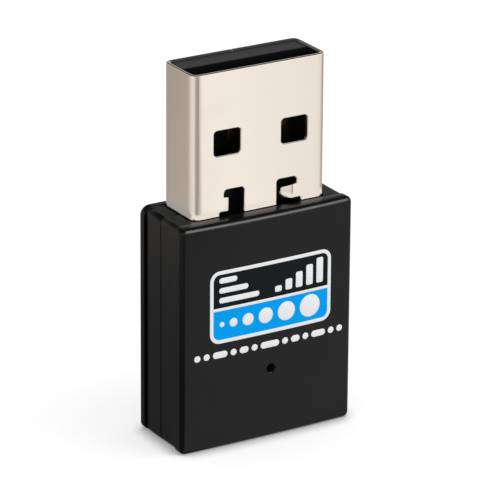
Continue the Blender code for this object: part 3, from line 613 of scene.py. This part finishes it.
rear_cover = loft("rear_cover_moulding", rings, "Y")
carve(rear_cover, plug_opening("rear_opening"))
shoulder_drop = 0.15 * MM  # the board's shoulders stand this far below the plug's legs
for side in (-1, 1):
    for number, post_z in enumerate((board_low.z + post_inset, leg_end - shoulder_drop - post_inset)):
        carve(rear_cover, bar(f"rear_post_{side}_{number}", side * post_x, post_z,
                              board_high.y + post_play, back - rear_wall / 2), "UNION")
settle(rear_cover)
dress(rear_cover, "rear_cover", material=housing_black)
plastic_only.objects.link(rear_cover)

# ----------------------------------------------------------
# Plug shell
# The plug's shell, stamped from thin steel, folded round the core, butted at the back and nickel plated.
# Holes for the port's springs are punched in both wide faces; two latch tabs are bent in at the root.
sheet, tip_round, rim_slope = 0.3 * MM, 0.1 * MM, 0.01 * MM
mouth_lead, mouth_depth = 0.1 * MM, 0.12 * MM
rings = [(leg_end, plug_ring(0.0)), (plug_tip - tip_round, plug_ring(0.0))]
rings += rounded(plug_ring, (0.0, plug_tip - tip_round), (tip_round, plug_tip))
rings += [(plug_tip - share * rim_slope, plug_ring(tip_round + share * (sheet - mouth_lead - tip_round)))
          for share in (0.12, 0.25, 0.8, 1.0)]
rings += [(plug_tip - rim_slope - share * (mouth_depth - rim_slope),
           plug_ring(sheet - (1 - share) * mouth_lead)) for share in (0.12, 0.25, 0.8, 1.0)]
rings.append((leg_end, plug_ring(sheet)))
plug_shell = loft("plug_shell_sheet", rings, "Z", closed=True)
beyond, leg_width = plug_width, 1.8 * MM
joint_gap, joint_depth = 0.06 * MM, 0.08 * MM
for name, y in (("legs_front", (plug_y - beyond, plug_y - leg_width / 2)),
                ("legs_back", (plug_y + leg_width / 2, plug_y + beyond))):
    carve(plug_shell, block(name, (-beyond, beyond), y, (leg_end - beyond, plug_end)))
carve(plug_shell, block("butt_joint", (-joint_gap / 2, joint_gap / 2),
                        (plug_y + joint_depth, plug_y + plug_depth), (leg_end - sheet, plug_tip + sheet)))


def punched(name, width, height, corner, middle, through=False, upper=None):
    """Cutter for a punched opening in the sheet; the punch leaves its edges rounded on the outside."""
    lead, far = 0.05 * MM, plug_front + plug_depth

    def outline(grown):
        """The opening's outline, grown all round."""
        return corner_ring(width + 2 * grown, height + 2 * grown, corner + grown, middle, 6,
                           (upper or corner) + grown)

    rings = [(plug_front - sheet, outline(lead)), (plug_front, outline(lead))]
    rings += rounded(outline, (lead, plug_front), (0.0, plug_front + lead), 4)
    if through:
        rings.append((far - lead, outline(0.0)))
        rings += rounded(outline, (0.0, far - lead), (lead, far), 4, hollow=True)
        rings.append((far + sheet, outline(lead)))
    else:
        rings.append((plug_y, outline(0.0)))
    return loft(name, rings, "Y")


hole_width, hole_height, hole_corner = 2.4 * MM, 2.1 * MM, 0.3 * MM
hole_spacing, hole_z, punch_shift = 6.06 * MM, plug_tip - 5.79 * MM, 0.1 * MM
latch_inner, latch_width, latch_rise, latch_drop = 1.46 * MM, 1.84 * MM, 2.1 * MM, 0.7 * MM
latch_corner, latch_upper_corner = 0.2 * MM, 0.3 * MM
relief_width, relief_rise, relief_corner, relief_out = 0.6 * MM, 0.32 * MM, 0.14 * MM, 0.1 * MM
for side in (-1, 1):
    carve(plug_shell, punched(f"hole_{side}", hole_width, hole_height, hole_corner,
                              (punch_shift + side * hole_spacing / 2, hole_z), through=True))
    latch_x = punch_shift + side * (latch_inner + latch_width / 2)
    carve(plug_shell, punched(f"latch_{side}", latch_width, latch_rise + latch_drop, latch_corner,
                              (latch_x, body_height + (latch_rise - latch_drop) / 2),
                              upper=latch_upper_corner))
    relief_x = latch_x + side * (latch_width / 2 + relief_out)
    carve(plug_shell, punched(f"relief_{side}", relief_width, latch_drop + relief_rise, relief_corner,
                              (relief_x, body_height + (relief_rise - latch_drop) / 2)))


def latch_tab(name, side):
    """A tab of the sheet, left standing at the cut-out's outer side and bent in towards the core."""
    length, thickness, bend_radius, bend = 1.4 * MM, 0.2 * MM, 0.24 * MM, radians(39)
    root_low, root_high, end_low, end_high, rounding = 0.33 * MM, 1.48 * MM, 0.2 * MM, 1.16 * MM, 0.34 * MM
    set_in, level, edge, proud = 0.12 * MM, 0.3 * MM, 0.03 * MM, 0.003 * MM
    rows = []
    root_x = punch_shift + side * (latch_inner + latch_width)
    arc = bend * bend_radius
    for where in [-set_in] + [length * step / 40 for step in range(41)]:
        on_arc = min(max(where - level, 0.0), arc)
        heading = on_arc / bend_radius
        straight = max(where - level - on_arc, 0.0)
        inward = min(where, level) + bend_radius * sin(heading) + straight * cos(heading)
        deep = bend_radius * (1 - cos(heading)) + straight * sin(heading)
        share = max(where, 0.0) / length
        smooth = share * share * (3 - 2 * share)
        low, high = root_low + (end_low - root_low) * smooth, root_high + (end_high - root_high) * smooth
        to_end = length - where
        if to_end < rounding:
            trim = rounding - (max(rounding ** 2 - (rounding - to_end) ** 2, 0.0)) ** 0.5
            low, high = low + trim * 0.96, high - trim * 0.96
        section = corner_ring(thickness, high - low, edge, (thickness / 2, (low + high) / 2), 3)
        rows.append([(root_x - side * (inward - into * sin(heading)),
                      plug_front + proud + deep + into * cos(heading), body_height + up)
                     for into, up in section])
    return skin(name, rows)


for side in (-1, 1):
    carve(plug_shell, latch_tab(f"latch_tab_{side}", side), "UNION")
settle(plug_shell)


def plated_metal(name, dark, pale, rough, cloud_scale, line_stretch, worn=None, cloud_detail=4.0,
                 cloud_high=0.7, rub_width=0.03 * MM, rub_breaks=2500.0, line_strength=0.3,
                 line_depth=0.002 * MM):
    """Plated or bare metal: a clouded tone, fine working lines, uneven gloss and edges worn paler."""
    made, tree = new_material(name)
    place = (add_node(tree, "TexCoord"), "Object")
    stretch = add_node(tree, "Mapping", {"Scale": line_stretch, "Vector": place})
    lines = noise(tree, stretch, 1.0, 3.0)
    cloud = noise(tree, place, cloud_scale, cloud_detail)
    rub = use_group(tree, rub_group, width=rub_width, breaks=rub_breaks)
    tone = blend_colours(tree, cloud, dark, pale)
    colour = blend_colours(tree, rub, tone, worn or tuple(min(1.0, value * 1.15) for value in pale))
    uneven = remap(tree, cloud, 0.3, cloud_high, *rough)
    surface(tree, colour, uneven, lines, line_strength, line_depth, {"Metallic": 1.0})
    return made


nickel_plate = plated_metal("nickel_plate", (0.86, 0.775, 0.685), (0.9, 0.82, 0.735), (0.13, 0.19), 420.0,
                            (9000.0, 9000.0, 260.0), worn=(0.95, 0.9, 0.84), cloud_detail=5.0,
                            cloud_high=0.75, rub_width=0.06 * MM, rub_breaks=1500.0, line_strength=0.1,
                            line_depth=0.001 * MM)
dress(plug_shell, "plug_shell", material=nickel_plate)

# ----------------------------------------------------------
# Plug core
# The plastic core that carries the contacts: a block at the root, where the latch tabs reach into pockets,
# and a tongue along the back half of the plug. Black glass-filled resin.
tongue_set_back, core_play, core_round, hollow_depth = 0.08 * MM, 0.05 * MM, 0.07 * MM, 8.9 * MM
tongue_front, core_inset = plug_y + tongue_set_back, sheet + core_play
core_low, core_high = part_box("plug_insulator")
core_top = core_high.z - core_round
rings = [(core_low.z, plug_ring(core_inset)), (core_top, plug_ring(core_inset))]
rings += rounded(plug_ring, (core_inset, core_top), (core_inset + core_round, core_high.z), 4)
plug_core = loft("plug_core_moulding", rings, "Z")
hollow_floor, past, before = plug_tip - hollow_depth, plug_tip + hollow_depth, plug_y - plug_depth
profile = [(before, hollow_floor), (tongue_front, hollow_floor), (tongue_front, core_top)]
profile += quarter_round((tongue_front, core_top), (tongue_front + core_round, core_high.z), 4)
profile += [(tongue_front + core_round, past), (before, past)]
carve(plug_core, loft("mouth", [(-plug_width, profile), (plug_width, profile)], "X"))
pocket_play, pocket_depth, slot_play = 0.12 * MM, 1.3 * MM, 0.03 * MM
for side in (-1, 1):
    pocket_x, reach = punch_shift + side * (latch_inner + latch_width / 2), latch_width / 2 + pocket_play
    carve(plug_core, block(f"tab_pocket_{side}", (pocket_x - reach, pocket_x + reach),
                           (before, plug_front + pocket_depth),
                           (body_height - latch_drop, body_height + latch_rise)))
contacts = ("contact_vbus", "contact_data_minus", "contact_data_plus", "contact_ground")
for node in contacts:
    low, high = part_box(node)
    carve(plug_core, block(f"{node}_slot", (low.x - slot_play, high.x + slot_play),
                           (low.y - slot_play, high.y + slot_play), (core_low.z - sheet, high.z + slot_play)))
settle(plug_core)
# The tongue's top face is painted paler, where the light from above falls on it; the mouth below stays dark.
core_black = black_plastic("plug_core_black", (0.004, 0.004, 0.004), (0.007, 0.007, 0.0072),
                           (0.02, 0.02, 0.02), 0.42, 0.06 * MM, 0.004 * MM,
                           painted_lit_top=(core_high.z - 0.03 * MM, (0.034, 0.034, 0.034)))
dress(plug_core, "plug_insulator", material=core_black)

# ----------------------------------------------------------
# Plug contacts
# Four flat springs of copper alloy, stamped, gold plated over nickel and pressed into the core's slots. Their
# tails lie on the board.
def paint(node_name, material, width=0.02 * MM):
    """Gives a piece that is used as it came its rounded edges and its material."""
    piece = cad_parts[node_name]
    piece.modifiers.new("weld", "WELD").merge_threshold = 0.0005 * MM
    bevel = piece.modifiers.new("edge_rounding", "BEVEL")
    bevel.width, bevel.segments = width, 2
    bevel.limit_method, bevel.angle_limit = "ANGLE", radians(40)
    bevel.harden_normals = True
    piece.data.materials.clear()
    piece.data.materials.append(material)


contact_plate = plated_metal("contact_gold_plate", (0.7, 0.45, 0.16), (0.85, 0.6, 0.26), (0.16, 0.3),
                             1 / (1.2 * MM), (12000.0, 12000.0, 400.0))
for node in contacts:
    paint(node, contact_plate)

# ----------------------------------------------------------
# Circuit board
# A four-layer glass fibre board, milled to shape, under green solder resist that lets the weave and the
# copper below show through a little. The resist is paler and barer where it turns to the milled edges.
board_green, tree = new_material("board_green_resist")
place = (add_node(tree, "TexCoord"), "Object")
facing = (add_node(tree, "NewGeometry"), "Normal")
split = add_node(tree, "SeparateXYZ", {0: facing})
flat = combine(tree, "ABSOLUTE", (split, "Y"))
is_face = remap(tree, flat, 0.6, 0.9)
threads = {"Scale": 480.0, "Distortion": 0.6, "Detail": 2.0, "Vector": place}
weft, warp = [add_node(tree, "TexWave", threads, bands_direction=axis) for axis in "XZ"]
weave = combine(tree, "MULTIPLY", (weft, "Fac"), (warp, "Fac"))
planes = noise(tree, place, 330.0, 1.0)
poured = remap(tree, planes, 0.47, 0.53)
resist = blend_colours(tree, poured, (0.008, 0.06, 0.026), (0.014, 0.1, 0.045))
colour = blend_colours(tree, is_face, (0.32, 0.3, 0.16), resist)
rough = remap(tree, is_face, 0.0, 1.0, 0.75, 0.32)
surface(tree, colour, rough, weave, 0.25, 0.004 * MM)
paint("circuit_board", board_green, 0.03 * MM)

# ----------------------------------------------------------
# Chips
# The radio chip and the voltage regulator: silica-filled epoxy moulded over the silicon, blasted matt. The
# regulator's legs are tinned.
chip_resin = black_plastic("chip_epoxy", (0.018, 0.018, 0.019), (0.028, 0.028, 0.03), (0.05, 0.05, 0.05),
                           0.55, 0.03 * MM, 0.003 * MM)
paint("wifi_chip", chip_resin)


def capped(name, dark, pale, metal, axis, reach, roughness):
    """A small part with plated ends: body in the middle of one axis, metal from a given share outward."""
    made, tree = new_material(name)
    place = add_node(tree, "TexCoord")
    split = add_node(tree, "SeparateXYZ", {0: (place, "Generated")})
    centred = combine(tree, "SUBTRACT", (split, axis), 0.5)
    from_middle = combine(tree, "ABSOLUTE", centred)
    ragged = noise(tree, (place, "Object"), 9000.0, 3.0)
    wobble = combine(tree, "MULTIPLY_ADD", ragged, 0.02, from_middle)
    is_end = remap(tree, wobble, reach, reach + 0.02)
    body = blend_colours(tree, ragged, dark, pale)
    colour = blend_colours(tree, is_end, body, metal)
    rough = remap(tree, is_end, 0.0, 1.0, roughness, 0.3)
    surface(tree, colour, rough, ragged, 0.3, 0.004 * MM, {"Metallic": is_end})
    return made


tin = (0.72, 0.71, 0.69)
paint("voltage_regulator",
      capped("regulator_epoxy", (0.02, 0.02, 0.021), (0.03, 0.03, 0.031), tin, "Z", 0.33, 0.55))

# ----------------------------------------------------------
# Crystal
# The quartz crystal's tray: pale ceramic with a nickel lid that a roller has welded on. It is soldered to the
# board beside the radio chip.
paint("crystal", plated_metal("crystal_lid_nickel", (0.5, 0.48, 0.43), (0.66, 0.64, 0.58), (0.22, 0.4),
                              1 / (0.8 * MM), (9000.0, 600.0, 600.0)))

# ----------------------------------------------------------
# Status light
# The light behind the pinhole: clear epoxy moulded over a white carrier with plated ends, which are soldered
# to the board.
paint("status_led",
      capped("led_epoxy", (0.55, 0.58, 0.5), (0.72, 0.74, 0.66), (0.75, 0.62, 0.35), "X", 0.4, 0.22))

# ----------------------------------------------------------
# Power coil
# The regulator's coil: copper wire wound on a ferrite core, dipped and fired dark grey, grainy and slightly
# brown, and soldered to the board.
paint("power_inductor", black_plastic("coil_ferrite_grey", (0.05, 0.046, 0.042), (0.085, 0.08, 0.074),
                                      (0.13, 0.12, 0.11), 0.5, 0.04 * MM, 0.01 * MM), 0.03 * MM)

# ----------------------------------------------------------
# Printed antennas
# Two copper traces that wind along the board's closed end, etched from its copper and left under a thin
# flux-brown film.
antenna_metal = plated_metal("antenna_copper_film", (0.42, 0.2, 0.07), (0.62, 0.33, 0.14), (0.25, 0.42),
                             1 / (0.7 * MM), (900.0, 900.0, 900.0))
for end in ("left", "right"):
    paint(f"antenna_{end}", antenna_metal, 0.008 * MM)

# ----------------------------------------------------------
# Two-pad parts
# Capacitors, resistors, band filters and matching coils: fired ceramic bodies with dipped and tinned ends,
# placed by machine and soldered to the board.
kinds = {"capacitor_": ((0.3, 0.19, 0.1), (0.42, 0.28, 0.16), 0.45),
         "power_capacitor_": ((0.34, 0.23, 0.13), (0.46, 0.32, 0.2), 0.45),
         "resistor_": ((0.012, 0.012, 0.014), (0.022, 0.022, 0.024), 0.35),
         "rf_filter_": ((0.09, 0.14, 0.2), (0.13, 0.19, 0.27), 0.4),
         "rf_inductor_": ((0.5, 0.5, 0.5), (0.64, 0.64, 0.65), 0.4)}
looks = {}
for node in sorted(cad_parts):
    for kind, (dark, pale, roughness) in kinds.items():
        if node.startswith(kind):
            low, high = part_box(node)
            axis = "X" if high.x - low.x > high.z - low.z else "Z"
            if (kind, axis) not in looks:
                name = f"{kind}ceramic_{axis.lower()}"
                looks[kind, axis] = capped(name, dark, pale, tin, axis, 0.25, roughness)
            paint(node, looks[kind, axis])

# ----------------------------------------------------------
# Print
# Pad printed on the face in white, light blue and near black, each ink a thin film with softly rounded
# edges: a framed panel in two bands with bars, pills and growing dots, and a row of dashes below it.
def ink(name, deep, colour, variation):
    """Matt printing ink, a little uneven in cover and gloss."""
    made, tree = new_material(name)
    place = (add_node(tree, "TexCoord"), "Object")
    mesh_marks = noise(tree, place, 5200.0, 2.0)
    cover = noise(tree, place, 900.0, 4.0)
    tone = blend_colours(tree, cover, deep, colour)
    rough = remap(tree, cover, 0.3, 0.7, 0.42, 0.42 + variation)
    surface(tree, tone, rough, mesh_marks, 0.3, 0.002 * MM, {"Specular IOR Level": 0.04})
    return made


film_foot, film_soft, film_steps = 0.03 * MM, 0.012 * MM, 8


def film(width, height, corner, middle, proud, window=None):
    """A printed shape: a thin film with rounded edges, set a hair into the face, with or without a window."""
    top, side = front - proud, front - proud + film_soft

    def outline(inset):
        """The shape's outline, drawn in by an inset."""
        return corner_ring(width - 2 * inset, height - 2 * inset, corner - inset, middle, film_steps)

    def window_outline(grown):
        """The window's outline, grown all round."""
        wide, high, turn, centre = window
        return corner_ring(wide + 2 * grown, high + 2 * grown, turn + grown, centre, film_steps)

    rings = [(front + film_foot, outline(0.0)), (side, outline(0.0))]
    rings += rounded(outline, (0.0, side), (film_soft, top), 2)
    if window:
        rings.append((top, window_outline(film_soft)))
        rings += rounded(window_outline, (film_soft, top), (0.0, side), 2, hollow=True)
        rings.append((front + film_foot, window_outline(0.0)))
    return loft("film", rings, "Y", closed=bool(window))


def gather(name, pieces, material):
    """Joins printed shapes of one ink into one piece that follows the face."""
    shape = bmesh.new()
    for piece in pieces:
        shape.from_mesh(piece.data)
        bpy.data.objects.remove(piece, do_unlink=True)
    mesh = bpy.data.meshes.new(name)
    shape.to_mesh(mesh)
    shape.free()
    joined = bpy.data.objects.new(name, mesh)
    crown(joined)
    bpy.context.scene.collection.objects.link(joined)
    mesh.shade_smooth()
    mesh.set_sharp_from_angle(angle=radians(40))
    mesh.materials.append(material)
    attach(joined, "root")


white_ink = ink("ink_white", (0.93, 0.945, 0.955), (0.96, 0.97, 0.98), 0.12)
blue_ink = ink("ink_blue", (0.0, 0.375, 0.97), (0.0, 0.405, 1.0), 0.12)
dark_ink = ink("ink_dark", (0.0085, 0.0105, 0.012), (0.012, 0.0145, 0.0165), 0.1)
panel_left, panel_right, panel_low, panel_high = -5.26 * MM, 5.78 * MM, 8.87 * MM, 14.9 * MM
panel_line, panel_corner = 0.3 * MM, 0.85 * MM
panel_width, panel_height = panel_right - panel_left, panel_high - panel_low
panel_x, panel_z = (panel_left + panel_right) / 2, (panel_low + panel_high) / 2
divide = panel_low + 0.47 * panel_height
thin, thick = 0.012 * MM, 0.024 * MM
window = (panel_width - 2 * panel_line, panel_height - 2 * panel_line, panel_corner - panel_line,
          (panel_x, panel_z))
white_shapes = [film(panel_width, panel_height, panel_corner, (panel_x, panel_z), thick, window)]
white_shapes.append(film(panel_width - panel_line, panel_line * 0.8, 0.05 * MM, (panel_x, divide), thick))


def band(low, high, upper):
    """The coloured ground of one band of the panel, square at the dividing line and round at the frame."""
    corners = [0.03 * MM, panel_corner - panel_line / 2]
    lower_corner, upper_corner = corners if upper else reversed(corners)
    ring = corner_ring(panel_width - panel_line, high - low, lower_corner, (panel_x, (low + high) / 2),
                       film_steps, upper_corner)
    return loft("band", [(front + film_foot, ring), (front - thin, ring)], "Y")


gather("print_blue_band", [band(panel_low + panel_line / 2, divide, False)], blue_ink)
gather("print_dark_band", [band(divide, panel_high - panel_line / 2, True)], dark_ink)
# Level bars to the right in the dark band, three pills to their left.
bar_width, bar_gap, bar_foot, bar_corner = 0.62 * MM, 0.34 * MM, divide + 0.5 * MM, 0.14 * MM
for number in range(5):
    height = (0.5 + 0.4 * number) * MM
    bar_x = panel_x + 0.62 * MM + number * (bar_width + bar_gap)
    white_shapes.append(film(bar_width, height, bar_corner, (bar_x, bar_foot + height / 2), thick))
pill_height, pill_corner, pill_step = 0.46 * MM, 0.22 * MM, 0.82 * MM
for number, length in enumerate((3.6, 2.6, 1.6)):
    pill_x, pill_z = panel_left + 0.8 * MM + length / 2 * MM, bar_foot + 0.23 * MM + number * pill_step
    white_shapes.append(film(length * MM, pill_height, pill_corner, (pill_x, pill_z), thick))
# Dots that grow to the right in the blue band. A round end is a hair less than a full half circle.
dot_gap, end_flat = 0.46 * MM, 0.002 * MM
dot_x, dot_z = panel_left + 0.85 * MM, (panel_low + panel_line + divide) / 2
for number in range(6):
    size = (0.42 + 0.29 * number) * MM
    white_shapes.append(film(size, size, size / 2 - end_flat, (dot_x + size / 2, dot_z), thick))
    dot_x += size + dot_gap
# The row below: dots and dashes, the same from both ends.
row_z, row_height, row_gap = 7.93 * MM, 0.54 * MM, 0.28 * MM
row = [0.54, 0.54, 1.3, 0.54, 0.8, 0.54, 1.7, 0.54, 0.8, 0.54, 1.3, 0.54, 0.54]
row_x = 0.15 * MM - (sum(row) * MM + row_gap * (len(row) - 1)) / 2
for length in row:
    white_shapes.append(film(length * MM, row_height, row_height / 2 - end_flat,
                             (row_x + length / 2 * MM, row_z), thick))
    row_x += length * MM + row_gap
gather("print_white", white_shapes, white_ink)
